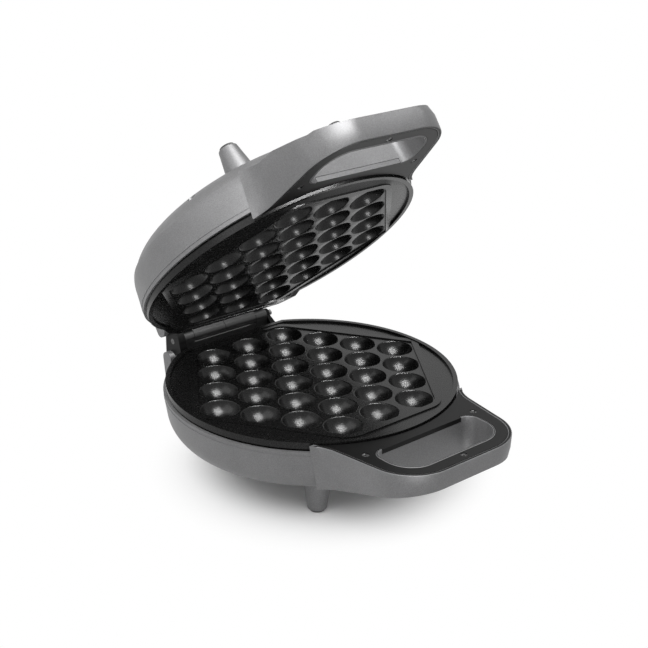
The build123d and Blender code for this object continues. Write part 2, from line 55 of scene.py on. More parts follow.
# %% Camera
CAMERA_PLACE = Vector((-0.52497, -0.61081, 0.43895))
CAMERA_RIGHT = Vector((0.7617, -0.6478, 0.01281))
CAMERA_DOWN = Vector((-0.24251, -0.30336, -0.9215))
LENS_MM = 75.34

right = CAMERA_RIGHT.normalized()
up = (-CAMERA_DOWN).normalized()
back = right.cross(up)
turn = Matrix((right, up, back)).transposed()
bpy.ops.object.camera_add(location=CAMERA_PLACE, rotation=turn.to_euler())
camera = bpy.context.object
camera.name = "photo_camera"
camera.data.lens = LENS_MM
camera.data.sensor_width = 36.0
camera.data.sensor_fit = "HORIZONTAL"
bpy.context.scene.camera = camera
print("camera looks along", [round(v, 3) for v in -back])

# %% [markdown]
# ## Shader maths
#
# Wrapping a node socket in a small class lets a finish read like a formula: `a * 2 + b` adds the
# Math nodes for us. Any other node comes from one method that takes its type, settings and inputs.


# %% Sockets as numbers
class Wire:
    """One output socket of a material, with arithmetic."""

    def __init__(self, tree, socket):
        self.tree = tree
        self.socket = socket

    def math(self, operation, *others):
        """Result of a Math node on this value and the others."""
        node = self.tree.nodes.new("ShaderNodeMath")
        node.operation = operation
        for slot, value in zip(node.inputs, (self, *others)):
            feed(self.tree, slot, value)
        return Wire(self.tree, node.outputs[0])

    def __add__(self, other):
        return self.math("ADD", other)

    def __sub__(self, other):
        return self.math("SUBTRACT", other)

    def __rsub__(self, other):
        return (self * -1.0) + other

    def __mul__(self, other):
        return self.math("MULTIPLY", other)

    __radd__ = __add__
    __rmul__ = __mul__

    def clamp(self):
        """The value kept between 0 and 1."""
        return self.math("MINIMUM", 1.0).math("MAXIMUM", 0.0)

    def contrast(self, middle, gain):
        """The value pulled away from its middle, kept between 0 and 1."""
        return ((self - middle) * gain + 0.5).clamp()


def feed(tree, slot, value):
    """Link a wire to an input, or set the input's own value."""
    if isinstance(value, Wire):
        tree.links.new(value.socket, slot)
    else:
        slot.default_value = value


def grey(level):
    """Neutral colour with full alpha."""
    return (level, level, level, 1.0)


class Finish:
    """A material under construction: nodes, wires and its Principled shader."""

    def __init__(self, name, **constants):
        self.material = bpy.data.materials.new(name)
        self.material.use_nodes = True
        self.tree = self.material.node_tree
        self.tree.nodes.clear()
        self.output = self.tree.nodes.new("ShaderNodeOutputMaterial")
        self.shader = self.tree.nodes.new("ShaderNodeBsdfPrincipled")
        self.tree.links.new(self.shader.outputs[0], self.output.inputs[0])
        for key, value in constants.items():
            self.set(key.replace("_", " "), value)

    def set(self, slot, value):
        """Set or link one of the shader's inputs by its name."""
        feed(self.tree, self.shader.inputs[slot], value)

    def node(self, kind, out=0, settings=(), **inputs):
        """Add a node, set it up, feed its inputs and return one of its outputs as a wire."""
        made = self.tree.nodes.new("ShaderNode" + kind)
        for key, value in dict(settings).items():
            setattr(made, key, value)
        for key, value in inputs.items():
            feed(self.tree, made.inputs[key.replace("_", " ")], value)
        return Wire(self.tree, made.outputs[out])

    def place(self, stretch=None):
        """Object coordinates of the surface, stretched along some directions if asked."""
        spot = self.node("TexCoord", "Object")
        if stretch is None:
            return spot
        return self.node("Mapping", Vector=spot, Scale=stretch)

    def noise(self, scale, detail=2.0, roughness=0.5, stretch=None):
        """Soft noise between 0 and 1 on object coordinates; scale is in waves per metre."""
        return self.node("TexNoise", Vector=self.place(stretch), Scale=scale, Detail=detail,
                         Roughness=roughness)

    def cells(self, scale):
        """A random grey for each small cell, as flakes and sprayed drops have."""
        colour = self.node("TexVoronoi", "Color", Vector=self.place(), Scale=scale)
        return self.node("SeparateColor", 0, Color=colour)

    def mix(self, factor, first, second):
        """Colour between two colours or wires."""
        made = self.tree.nodes.new("ShaderNodeMix")
        made.data_type = "RGBA"
        feed(self.tree, made.inputs[0], factor)
        feed(self.tree, made.inputs[6], first)
        feed(self.tree, made.inputs[7], second)
        return Wire(self.tree, made.outputs[2])

    def bump(self, height, distance, strength=1.0):
        """Bend the surface normal by a height."""
        self.set("Normal", self.node("Bump", Height=height, Distance=distance, Strength=strength))


print("shader helpers ready")

# %% [markdown]
# ## The housings' paint
#
# Both housings are moulded plastic under a silver-grey paint with fine metal flakes. Close up the
# flakes are a speckle of brighter and darker points, and the sprayed skin is not quite flat. A
# flat grey would do from far away, but the speckle is what says paint, so small random cells mix
# two greys, a wider noise clouds them a little, and a fine wave bends the highlights.

# %% Silver-grey flake paint
PAINT_DARK = (0.115, 0.115, 0.117, 1.0)
PAINT_LIGHT = (0.23, 0.23, 0.233, 1.0)
FLAKES_PER_METRE = 3400.0


def flake_paint():
    """Satin silver-grey paint with fine flakes."""
    paint = Finish("silver_grey_flake_paint", Metallic=0.3, Specular_IOR_Level=0.35)
    flake = paint.cells(FLAKES_PER_METRE)
    cloud = paint.noise(55.0, 3.0)
    shade = (flake * 0.6 + cloud * 0.4).clamp()
    paint.set("Base Color", paint.mix(shade, PAINT_DARK, PAINT_LIGHT))
    paint.set("Roughness", flake * 0.12 + 0.44)
    skin = paint.noise(520.0, 2.0)
    paint.bump(skin * 0.8 + flake * 0.2, 0.00003, 0.4)
    return paint.material


paint = flake_paint()
print("made", paint.name)

# %% [markdown]
# ## Black mouldings, coating and rubber
#
# The frames round the handle slots are black plastic with a fine satin grain. The plates carry a
# sprayed non-stick coating: darker, with a soft sheen that gathers into one spot in every cavity.
# Its sheen varies a little over the plate, as a sprayed and baked coat does. The foot tips are
# matt rubber, dustier than the plastic.

# %% Black finishes
DROPS_PER_METRE = 1500.0


def black_moulding():
    """Satin black plastic with a fine grain."""
    finish = Finish("black_satin_moulding", Specular_IOR_Level=0.08)
    grain = finish.noise(1900.0, 3.0)
    cloud = finish.noise(38.0, 2.0)
    finish.set("Base Color", finish.mix(cloud, grey(0.0075), grey(0.0135)))
    finish.set("Roughness", grain * 0.16 + 0.27)
    finish.bump(grain, 0.00003, 0.35)
    return finish.material


def sprayed_coating():
    """Baked non-stick coating on cast aluminium."""
    finish = Finish("non_stick_coating", Specular_IOR_Level=0.22)
    drops = finish.cells(DROPS_PER_METRE)
    cloud = finish.noise(26.0, 3.0)
    fine = finish.noise(1300.0, 2.0)
    finish.set("Base Color", finish.mix(drops * 0.7 + cloud * 0.3, grey(0.005), grey(0.013)))
    finish.set("Roughness", cloud * 0.05 + drops * 0.05 + 0.22)
    finish.bump(fine * 0.7 + drops * 0.3, 0.00003, 0.35)
    return finish.material


def foot_rubber():
    """Matt black rubber with a little dust."""
    finish = Finish("dusty_foot_rubber", Specular_IOR_Level=0.3)
    dust = finish.noise(420.0, 4.0, 0.6)
    finish.set("Base Color", finish.mix(dust, grey(0.011), grey(0.03)))
    finish.set("Roughness", dust * 0.2 + 0.6)
    finish.bump(finish.noise(2200.0, 2.0), 0.00005, 0.5)
    return finish.material


moulding = black_moulding()
coating = sprayed_coating()
rubber = foot_rubber()
print("made", moulding.name, coating.name, rubber.name)

# %% [markdown]
# ## Metals, ceramic, board and lenses
#
# The inside holds a drawn heater tube and a rolled reflector sheet. Drawn and rolled metal shows
# long streaks along the way it was worked, so its noise is stretched in one direction. The screws
# and the hinge's pin are dull steel under a thin dark skin that is worn in places. The two lamps
# on the lid are small clear lenses, coloured right through.

# %% Metals
STREAKS_UP = (1.0, 1.0, 0.1)
STREAKS_ACROSS = (0.04, 1.0, 1.0)


def streaked_metal(name, dark, light, roughness, stretch):
    """Metal with long streaks left by its working."""
    finish = Finish(name, Metallic=1.0)
    streak = finish.noise(900.0, 4.0, 0.6, stretch)
    finish.set("Base Color", finish.mix(streak, grey(dark), grey(light)))
    finish.set("Roughness", streak * 0.16 + roughness)
    finish.bump(streak, 0.00002, 0.4)
    return finish.material


def blackened_steel():
    """Dark oxide skin on steel, thin on the high spots."""
    finish = Finish("blackened_steel", Metallic=0.9)
    worn = finish.noise(650.0, 4.0, 0.6).contrast(0.5, 2.5)
    finish.set("Base Color", finish.mix(worn, grey(0.03), grey(0.2)))
    finish.set("Roughness", worn * 0.2 + 0.3)
    finish.bump(worn, 0.00002, 0.3)
    return finish.material


def bracket_enamel():
    """Satin black enamel on the hinge brackets."""
    finish = Finish("bracket_enamel", Specular_IOR_Level=0.5)
    peel = finish.noise(700.0, 2.0)
    finish.set("Base Color", finish.mix(peel, grey(0.014), grey(0.028)))
    finish.set("Roughness", peel * 0.12 + 0.3)
    finish.bump(peel, 0.00004, 0.4)
    return finish.material


drawn = streaked_metal("drawn_heater_steel", dark=0.22, light=0.42, roughness=0.3,
                       stretch=STREAKS_UP)
rolled = streaked_metal("rolled_reflector_sheet", dark=0.62, light=0.8, roughness=0.22,
                        stretch=STREAKS_ACROSS)
screw_steel = blackened_steel()
enamel = bracket_enamel()
print("made", drawn.name, rolled.name, screw_steel.name, enamel.name)


# %% Ceramic, board and lenses
def unglazed_ceramic():
    """Cream ceramic with darker specks."""
    finish = Finish("unglazed_ceramic", Roughness=0.75)
    speck = finish.noise(900.0, 3.0).contrast(0.62, 6.0)
    finish.set("Base Color", finish.mix(speck, (0.74, 0.71, 0.64, 1.0), (0.5, 0.46, 0.38, 1.0)))
    finish.bump(finish.noise(1200.0, 2.0), 0.00004, 0.4)
    return finish.material


def board_laminate():
    """Green lacquered board with the weave of its glass cloth."""
    finish = Finish("board_laminate", Roughness=0.42)
    weave = finish.node("TexWave", "Fac", Vector=finish.place(), Scale=420.0, Distortion=0.4)
    finish.set("Base Color", finish.mix(weave, (0.02, 0.14, 0.05, 1.0), (0.035, 0.2, 0.075, 1.0)))
    finish.bump(weave, 0.00002, 0.3)
    return finish.material


def lamp_lens(name, thin, deep):
    """Clear moulded lens, coloured right through."""
    finish = Finish(name, Transmission_Weight=0.55, IOR=1.49)
    swirl = finish.noise(160.0, 2.0)
    finish.set("Base Color", finish.mix(swirl, thin, deep))
    finish.set("Roughness", swirl * 0.08 + 0.06)
    return finish.material


ceramic = unglazed_ceramic()
laminate = board_laminate()
red_lens = lamp_lens("clear_red_lens", thin=(0.75, 0.05, 0.03, 1.0), deep=(0.5, 0.02, 0.012, 1.0))
green_lens = lamp_lens("clear_green_lens", thin=(0.1, 0.62, 0.16, 1.0), deep=(0.04, 0.4, 0.09, 1.0))
print("made", ceramic.name, laminate.name, red_lens.name, green_lens.name)

# %% [markdown]
# ## Dressing the solids
#
# A solid whose shape is right keeps it and only needs a finish. Each could be named one by one,
# but the two halves mirror each other, so for most of them the last words of the name are enough:
# `base_plate` and `lid_plate` both end in `plate`. Pieces that exist once are listed on their own.

# %% Dress the CAD pieces
finish_of = {
    "housing": paint,
    "handle_frame": moulding,
    "plate": coating,
    "heater": drawn,
    "heat_shield": rolled,
    "foot_tips": rubber,
    "hinge_bracket": enamel,
    "screws": screw_steel,
}
finish_alone = {
    "hinge_pin": screw_steel,
    "inlet_gland": moulding,
    "terminal_block": ceramic,
    "thermal_fuse": ceramic,
    "thermostat": rolled,
    "lamp_board": laminate,
    "power_lens": red_lens,
    "ready_lens": green_lens,
}


def finish_for(node):
    """The finish that a CAD node takes, by the last words of its name."""
    if node in finish_alone:
        return finish_alone[node]
    return next(made for words, made in finish_of.items() if node.endswith(words))


def coat(shape, *finishes):
    """Give a shape its finishes, the main one first."""
    shape.data.materials.clear()
    for made in finishes:
        shape.data.materials.append(made)


for name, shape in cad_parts.items():
    coat(shape, finish_for(name))
print("dressed", len(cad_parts), "nodes")

# %% [markdown]
# ## Working by hand
#
# Every new piece below is made with the same few moves: add or copy something, pick vertices,
# edges or faces by where they are, and pull them with an operator. `pick` does the choosing, and
# `settle` leaves the finished object at the origin with its place in its mesh. The lid's pieces
# are worked on lying closed and mirrored, like the base's, because there up is simply up.

# %% Choosing
MODES = ("VERT", "EDGE", "FACE")


def leave():
    """Back to object mode with nothing selected."""
    if bpy.context.object and bpy.context.object.mode != "OBJECT":
        bpy.ops.object.mode_set(mode="OBJECT")
    bpy.ops.object.select_all(action="DESELECT")


def take(shape):
    """Make one object the only selected and the active one."""
    leave()
    shape.select_set(True)
    bpy.context.view_layer.objects.active = shape


def forget_picks(mesh):
    """Clear the selection that a mesh remembers."""
    for group in (mesh.vertices, mesh.edges, mesh.polygons):
        group.foreach_set("select", [False] * len(group))


def edit(kind):
    """Enter edit mode to work on vertices, edges or faces."""
    bpy.context.tool_settings.mesh_select_mode = [kind == mode for mode in MODES]
    bpy.ops.object.mode_set(mode="EDIT")


def pick(shape, kind, test):
    """Enter edit mode with the vertices, edges or faces selected whose place and normal pass."""
    take(shape)
    mesh = shape.data
    forget_picks(mesh)
    found = 0
    if kind == "VERT":
        for corner in mesh.vertices:
            corner.select = bool(test(corner.co, corner.normal))
            found += corner.select
    elif kind == "EDGE":
        for edge in mesh.edges:
            first, last = (mesh.vertices[i].co for i in edge.vertices)
            edge.select = bool(test(first, last))
            found += edge.select
    else:
        for face in mesh.polygons:
            face.select = bool(test(face.center, face.normal))
            found += face.select
    edit(kind)
    return found


def everything(shape):
    """Enter edit mode with all of the shape selected."""
    return pick(shape, "VERT", lambda spot, normal: True)


print("picks", ", ".join(MODES))


# %% Moving and finishing
def shift(x=0.0, y=0.0, z=0.0):
    """Move what is selected."""
    bpy.ops.transform.translate(value=(x, y, z))


def swell(x, y, z, centre):
    """Scale what is selected about a point."""
    bpy.ops.transform.resize(value=(x, y, z), center_override=centre)


def swing(degrees, centre):
    """Turn what is selected about a line along X; positive lifts the handle end."""
    bpy.ops.transform.rotate(value=radians(degrees), orient_axis="X", orient_type="GLOBAL",
                             center_override=centre)


def pull(height):
    """Extrude what is selected and move the new part up by a height."""
    bpy.ops.mesh.extrude_region_move(TRANSFORM_OT_translate={"value": (0.0, 0.0, height)})


def fix_place(shape):
    """Put the place, turn and size of an object into its mesh."""
    take(shape)
    bpy.ops.object.transform_apply(location=True, rotation=True, scale=True)


def begin(name):
    """Name the primitive that was just added and fix its place."""
    made = bpy.context.object
    made.name = name
    fix_place(made)
    return made


def smooth(shape, degrees):
    """Shade a shape smooth, with edges sharper than an angle kept crisp."""
    take(shape)
    bpy.ops.object.shade_smooth_by_angle(angle=radians(degrees))
    leave()


def settle(shape, material, degrees):
    """Finish a piece: its place in its mesh, its material and its shading."""
    fix_place(shape)
    coat(shape, material)
    smooth(shape, degrees)


def span_of(piece):
    """Lowest and highest corner of a piece, in millimetres."""
    spots = [corner.co for corner in piece.data.vertices]
    low = [round(min(s[k] for s in spots) * 1000, 1) for k in range(3)]
    high = [round(max(s[k] for s in spots) * 1000, 1) for k in range(3)]
    return low, high


print("moving and finishing ready")

# %% Copies, and the lid's two poses
HINGE_Y = 0.110452
HINGE_Z = 0.0615
HINGE = (0.0, HINGE_Y, HINGE_Z)
PARTING_Z = 0.0605
OPEN_DEGREES = 45.0
SAME_CORNER = 0.000002


def twin(shape, name):
    """A second piece of the same form with its own mesh."""
    take(shape)
    bpy.ops.object.duplicate(linked=False)
    made = bpy.context.object
    made.name = name
    return made


def merged_copy(node, name):
    """Own copy of a CAD node's mesh, its loose triangles merged into one skin."""
    piece = twin(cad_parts[node], name)
    piece.parent = None
    for key in list(piece.keys()):
        del piece[key]
    if piece.data.has_custom_normals:
        bpy.ops.mesh.customdata_custom_splitnormals_clear()
    everything(piece)
    bpy.ops.mesh.remove_doubles(threshold=SAME_CORNER)
    leave()
    return piece


def turn_over():
    """Mirror what is selected about the parting, with its faces still outwards."""
    swell(1.0, 1.0, -1.0, (0.0, 0.0, PARTING_Z))
    bpy.ops.mesh.flip_normals()


def lay_down(piece):
    """Bring a piece of the lid into the base's pose: closed, and mirrored about the parting."""
    everything(piece)
    swing(-OPEN_DEGREES, HINGE)
    turn_over()
    leave()


def raise_up(piece, extra=0.0):
    """Bring a piece made in the base's pose up into the open lid."""
    everything(piece)
    turn_over()
    swing(OPEN_DEGREES + extra, HINGE)
    leave()


print("hinge at", HINGE, "open by", OPEN_DEGREES)

# %% [markdown]
# ## The base's housing
#
# The photograph shows the handle's underside falling a little more towards its end than the
# solid's, a thin bright edge where the paint turns over into the black frame, and hinge ears that
# are dark in shade. Remaking the shell would throw away a good one. So a copy of it is merged, the
# underside of its handle is swung down about the line where it meets the bowl, the level rim round
# the frame is coloured black, the grey ears are coloured black as painted shade, and the edge
# outside it is bevelled to catch the light.

# %% Reshape the handle's underside
HANDLE_START_Y = -0.066
NOTCH_Z = 0.0267
FRAME_SEAT_Z = 0.0545
UNDERSIDE_TURN = 1.9


def handle_ahead_of(line_y):
    """A test for the corners of the handle's outside that lie ahead of a line across it."""
    return lambda spot, normal: spot.y < line_y and spot.z < FRAME_SEAT_Z


base_shell = merged_copy("base_housing", "base_shell")
coat(base_shell, paint, moulding)
corners = pick(base_shell, "VERT", handle_ahead_of(HANDLE_START_Y))
swing(-UNDERSIDE_TURN, (0.0, HANDLE_START_Y, NOTCH_Z))
leave()
print("underside corners", corners, span_of(base_shell))

# %% Black rim, and painted shade on the ears
HANDLE_TOP = 0.0587
RIM_START_Y = -0.0655
LEVEL_NORMAL = 0.99
LEVEL_SLACK = 0.00005
EAR_INNER = 0.0372
EAR_OUTER = 0.0431
EAR_MARGIN = 0.0004
EAR_FRONT_Y = 0.0985
EAR_SHADE_FROM_Z = 0.0535


def blacken(shell, test):
    """Give the faces that pass a test the second finish of their shell."""
    count = 0
    for face in shell.data.polygons:
        if test(face.center, face.normal):
            face.material_index = 1
            count += 1
    return count


def level_rim(centre, normal):
    """Faces of the rim round the handle frame."""
    level = normal.z > LEVEL_NORMAL and abs(centre.z - HANDLE_TOP) < LEVEL_SLACK
    return level and centre.y < RIM_START_Y


def ear_painted_shade(centre, normal):
    """Faces of the hinge ears, which are coloured black as painted shade."""
    beside = EAR_INNER - EAR_MARGIN < abs(centre.x) < EAR_OUTER + EAR_MARGIN
    return beside and centre.y > EAR_FRONT_Y and centre.z > EAR_SHADE_FROM_Z


print("rim faces", blacken(base_shell, level_rim))
# The ears are grey paint that is only shaded, so their black here is painted shade.
print("ear faces", blacken(base_shell, ear_painted_shade))

# %% The far ear is small
FAR_EAR_SHARE = 0.45
EAR_FREE_Z = 0.0545

ear = pick(base_shell, "VERT", lambda spot, normal: (
    spot.x > EAR_INNER - EAR_MARGIN and spot.y > EAR_FRONT_Y and spot.z > EAR_FREE_Z))
swell(FAR_EAR_SHARE, FAR_EAR_SHARE, FAR_EAR_SHARE, (EAR_INNER, HINGE_Y, HINGE_Z))
leave()
print("far ear corners", ear)

# %% Bright edge round the handle
EDGE_BEVEL = 0.00055
EDGE_SLACK = 0.00004
STEEP_NORMAL = 0.6
SHELL_SMOOTH = 32.0


def steep_beside_level(shell):
    """Indices of the edges where the handle's level rim meets a steep face."""
    mesh = shell.data
    sides = {}
    for face in mesh.polygons:
        for key in face.edge_keys:
            sides.setdefault(key, []).append(face.normal.z)
    wanted = set()
    for edge in mesh.edges:
        ends = [mesh.vertices[i].co for i in edge.vertices]
        on_rim = all(abs(end.z - HANDLE_TOP) < EDGE_SLACK and end.y < RIM_START_Y for end in ends)
        ups = sides.get(tuple(sorted(edge.vertices)), [])
        if on_rim and len(ups) == 2 and max(ups) > LEVEL_NORMAL and min(ups) < STEEP_NORMAL:
            wanted.add(edge.index)
    return wanted


def bevel_handle_edge(shell):
    """Round the outer and slot edges of the handle's level rim."""
    wanted = steep_beside_level(shell)
    take(shell)
    forget_picks(shell.data)
    for index in wanted:
        shell.data.edges[index].select = True
    edit("EDGE")
    bpy.ops.mesh.bevel(offset=EDGE_BEVEL, segments=2, affect="EDGES", clamp_overlap=True,
                       material=0)
    leave()
    return len(wanted)


print("bevelled edges", bevel_handle_edge(base_shell))
smooth(base_shell, SHELL_SMOOTH)
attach(base_shell, "base")
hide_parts("base_housing")

# %% [markdown]
# ## The lid's housing, frame and rim
#
# In the photograph the lid's shell sits a little more open than its plate: a plate that floats in
# its shell levels itself on the batter, so the two need not be parallel. The handle is also
# deeper than the solid's. Copies of the shell and frame are laid down into the base's pose,
# reshaped, and raised again a little further. The plate's copy keeps its cavities, and only its
# outer rim follows the shell.

# %% Lid shell
SHELL_SWING = 0.75
BACK_TILT = 1.0
BACK_TILT_LINE = (0.0, -0.06, 0.017)
BACK_BELOW_Z = 0.03
HANDLE_END_Y = -0.122
HANDLE_LONGER = 0.003
HANDLE_FLARE_Y = -0.082
HANDLE_DEEPER = 0.0035


def tilt_back(piece):
    """Bring the far side of the lid's back a little inwards; the piece lies in the base's pose."""
    pick(piece, "VERT",
         lambda spot, normal: spot.y > HANDLE_START_Y and spot.z < BACK_BELOW_Z)
    swing(-BACK_TILT, BACK_TILT_LINE)
    leave()


lid_shell = merged_copy("lid_housing", "lid_shell")
lay_down(lid_shell)
print("lid laid down", span_of(lid_shell))
tilt_back(lid_shell)
pick(lid_shell, "VERT", handle_ahead_of(HANDLE_END_Y))
shift(y=-HANDLE_LONGER)
leave()
pick(lid_shell, "VERT", handle_ahead_of(HANDLE_FLARE_Y))
shift(z=-HANDLE_DEEPER)
leave()
coat(lid_shell, paint, moulding)
print("rim faces", blacken(lid_shell, level_rim))
print("bevelled edges", bevel_handle_edge(lid_shell))
raise_up(lid_shell, SHELL_SWING)
smooth(lid_shell, SHELL_SMOOTH)
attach(lid_shell, "lid")
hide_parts("lid_housing")
print("lid raised", span_of(lid_shell))

# %% Lid frame with its painted slot edge
SLOT_REAR_Y = -0.093748
SLOT_SLACK = 0.0003

lid_frame = merged_copy("lid_handle_frame", "lid_frame")
lay_down(lid_frame)
coat(lid_frame, moulding, paint)
painted = blacken(lid_frame, lambda centre, normal: (
    abs(centre.y - SLOT_REAR_Y) < SLOT_SLACK and normal.y < -0.9))
raise_up(lid_frame, SHELL_SWING)
smooth(lid_frame, SHELL_SMOOTH)
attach(lid_frame, "lid")
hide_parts("lid_handle_frame")
print("painted faces of the slot edge", painted)

# %% Lid plate with its rim carried by the shell
MIDDLE_Y = 0.011452
RIM_FROM = 0.0931
RIM_UNTIL_Y = 0.088
RIM_LIFT = 0.0022


def outer_ring(spot, normal):
    """Corners of the plate's rim, up to where the hinge begins."""
    return spot.y < RIM_UNTIL_Y and (spot - Vector((0.0, MIDDLE_Y, spot.z))).length > RIM_FROM


lid_grid = merged_copy("lid_plate", "lid_grid_plate")
lay_down(lid_grid)
ring = pick(lid_grid, "VERT", outer_ring)
shift(z=-RIM_LIFT)
leave()
raise_up(lid_grid)
settle(lid_grid, coating, SHELL_SMOOTH)
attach(lid_grid, "lid")
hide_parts("lid_plate")
print("rim corners", ring, "triangles", len(lid_grid.data.polygons))

# %% [markdown]
# ## Handle screws
#
# Three blackened cross-head screws hold each frame, sunk in the plastic. A cross-head is a round
# pan with a cross pressed into it. Cutting the cross with a boolean would leave ragged faces, so
# it starts as a small grid whose middle row and column are pushed down. The grid's square border
# is bridged to a circle, and the circle is pulled down into the head's side and the shank.

# %% Top of one head
HEAD_RADIUS = 0.0022
HEAD_TOP = 0.0581
SCREW_X = 0.0
SCREW_Y = -0.12855
HEAD_CENTRE = (SCREW_X, SCREW_Y, HEAD_TOP)
CROSS_SPAN = 0.0026

leave()
bpy.ops.mesh.primitive_grid_add(x_subdivisions=5, y_subdivisions=5, size=CROSS_SPAN,
                                location=HEAD_CENTRE)
screw = begin("base_frame_screw_1")
bpy.ops.object.mode_set(mode="EDIT")
bpy.ops.mesh.primitive_circle_add(vertices=20, radius=HEAD_RADIUS, location=HEAD_CENTRE)
bpy.context.tool_settings.mesh_select_mode = [False, True, False]
bpy.ops.mesh.select_all(action="DESELECT")
bpy.ops.mesh.select_non_manifold(extend=False, use_wire=True, use_boundary=True,
                                 use_multi_face=False, use_non_contiguous=False, use_verts=False)
bpy.ops.mesh.bridge_edge_loops()
leave()
print("head faces", len(screw.data.polygons))

# %% Side and shank
HEAD_HEIGHT = 0.0013
SHANK_RADIUS = 0.0015
SHANK_END = 0.051


def far_from_screw(spot):
    """Distance of a point from the first screw's axis."""
    return ((spot.x - SCREW_X) ** 2 + (spot.y - SCREW_Y) ** 2) ** 0.5


def on_head_edge(first, last):
    """Edges of the round border of the head."""
    return min(far_from_screw(first), far_from_screw(last)) > HEAD_RADIUS * 0.97


pick(screw, "EDGE", on_head_edge)
pull(-HEAD_HEIGHT)
pull(0.0)
swell(SHANK_RADIUS / HEAD_RADIUS, SHANK_RADIUS / HEAD_RADIUS, 1.0, HEAD_CENTRE)
pull(SHANK_END - HEAD_TOP + HEAD_HEIGHT)
bpy.ops.mesh.edge_face_add()
leave()
print("screw", span_of(screw))

# %% Cross
CROSS_DEPTH = 0.0009
CROSS_TAPER = 0.8
CROSS_REACH = CROSS_SPAN * 0.42
ARM_HALF = CROSS_SPAN / 10
SCREW_EDGE = 0.00012


def in_cross(middle, normal):
    """Faces of the middle row and column of the grid."""
    aside = abs(middle.x - SCREW_X)
    along = abs(middle.y - SCREW_Y)
    inside = max(aside, along) < CROSS_REACH and abs(middle.z - HEAD_TOP) < 0.0001
    return inside and min(aside, along) < ARM_HALF


cross = pick(screw, "FACE", in_cross)
pull(-CROSS_DEPTH)
swell(CROSS_TAPER, CROSS_TAPER, 1.0, HEAD_CENTRE)
everything(screw)
bpy.ops.mesh.normals_make_consistent(inside=False)
take(screw)
soft = screw.modifiers.new("rounded_edges", "BEVEL")
soft.width = SCREW_EDGE
soft.segments = 2
soft.limit_method = "ANGLE"
soft.angle_limit = radians(40.0)
bpy.ops.object.modifier_apply(modifier=soft.name)
settle(screw, screw_steel, 40.0)
print("cross faces", cross, "screw", span_of(screw))

# %% Its copies
OTHER_SCREWS = ((-0.0455, -0.09225), (0.0455, -0.09225))
TURN_EACH = 25.0

base_screws = [screw]
for number, (x, y) in enumerate(OTHER_SCREWS, start=2):
    made = twin(screw, "base_frame_screw_" + str(number))
    everything(made)
    shift(x=x - SCREW_X, y=y - SCREW_Y)
    bpy.ops.transform.rotate(value=radians(TURN_EACH * number), orient_axis="Z",
                             center_override=(x, y, HEAD_TOP))
    leave()
    base_screws.append(made)
lid_screws = []
for number, pattern in enumerate(base_screws, start=1):
    made = twin(pattern, "lid_frame_screw_" + str(number))
    raise_up(made, SHELL_SWING)
    lid_screws.append(made)
for group, body in ((base_screws, "base"), (lid_screws, "lid")):
    for piece in group:
        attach(piece, body)
        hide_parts(body + "_frame_screws")
leave()
print("screws", len(base_screws) + len(lid_screws))

# %% [markdown]
# ## Rubber foot tips
#
# Each of the eight feet ends in a plug of black rubber: a low disc with a soft edge and a shallow
# hollow underneath that grips the table, on a stem that is pressed into the foot. A cylinder gives
# the disc, its lower face is inset and pushed in for the hollow, its upper face is inset and
# pulled up into the stem, and a bevel softens the edge. One tip is made and copied to every foot.

# %% One tip
TIP_RADIUS = 0.005
TIP_HEIGHT = 0.0012
TIP_EDGE = 0.00045
STEM_RADIUS = 0.002
STEM_TOP = 0.0062
HOLLOW_BORDER = 0.0011
HOLLOW_DEPTH = 0.0004
HOLLOW_TAPER = 0.85
FOOT_X = 0.04313
FOOT_FRONT_Y = -0.0462
FOOT_REAR_Y = 0.06911
GROUND = 0.00001

leave()
bpy.ops.mesh.primitive_cylinder_add(vertices=48, radius=TIP_RADIUS, depth=TIP_HEIGHT,
                                    location=(FOOT_X, FOOT_FRONT_Y, TIP_HEIGHT / 2))
tip = begin("base_foot_tip_1")
pick(tip, "FACE", lambda centre, normal: normal.z > 0.9)
bpy.ops.mesh.inset(thickness=TIP_RADIUS - STEM_RADIUS)
pull(STEM_TOP - TIP_HEIGHT)
leave()
pick(tip, "EDGE", lambda first, last: first.z < GROUND and last.z < GROUND)
bpy.ops.mesh.bevel(offset=TIP_EDGE, segments=3, affect="EDGES")
leave()
pick(tip, "FACE", lambda centre, normal: normal.z < -0.9 and centre.z < GROUND)
bpy.ops.mesh.inset(thickness=HOLLOW_BORDER)
pull(HOLLOW_DEPTH)
swell(HOLLOW_TAPER, HOLLOW_TAPER, 1.0, (FOOT_X, FOOT_FRONT_Y, 0.0))
leave()
settle(tip, rubber, 40.0)
print("tip", span_of(tip), "faces", len(tip.data.polygons))

# %% Its copies
feet = ((-FOOT_X, FOOT_FRONT_Y), (FOOT_X, FOOT_REAR_Y), (-FOOT_X, FOOT_REAR_Y))
base_tips = [tip]
for number, (x, y) in enumerate(feet, start=2):
    made = twin(tip, "base_foot_tip_" + str(number))
    everything(made)
    shift(x=x - FOOT_X, y=y - FOOT_FRONT_Y)
    leave()
    base_tips.append(made)
lid_tips = []
for number, pattern in enumerate(base_tips, start=1):
    made = twin(pattern, "lid_foot_tip_" + str(number))
    tilt_back(made)
    raise_up(made, SHELL_SWING)
    lid_tips.append(made)
for group, body in ((base_tips, "base"), (lid_tips, "lid")):
    for piece in group:
        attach(piece, body)
        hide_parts(body + "_foot_tips")
leave()
print("tips", len(base_tips) + len(lid_tips), span_of(lid_tips[0]))

# %% [markdown]
# ## Lamp lenses
#
# Two small lenses stand in the lid's top, a red one for power and a green one for ready. Each is
# a clear plug with a domed cap. A sphere would be too full, so the plug is a cylinder whose outer
# face is inset three times and pulled out a little less each time, which makes a shallow dome. A
# thin black ring round it stands for the seal that keeps steam out.

# %% Lenses
LENS_RADIUS = 0.0035
LENS_X = 0.009
LENS_Y = -0.043548
LENS_FACE = 0.0168
LENS_END = 0.023
DOME_STEPS = ((0.0005, 0.00028), (0.0008, 0.00018), (0.0009, 0.00007))
ROUND_SMOOTH = 60.0


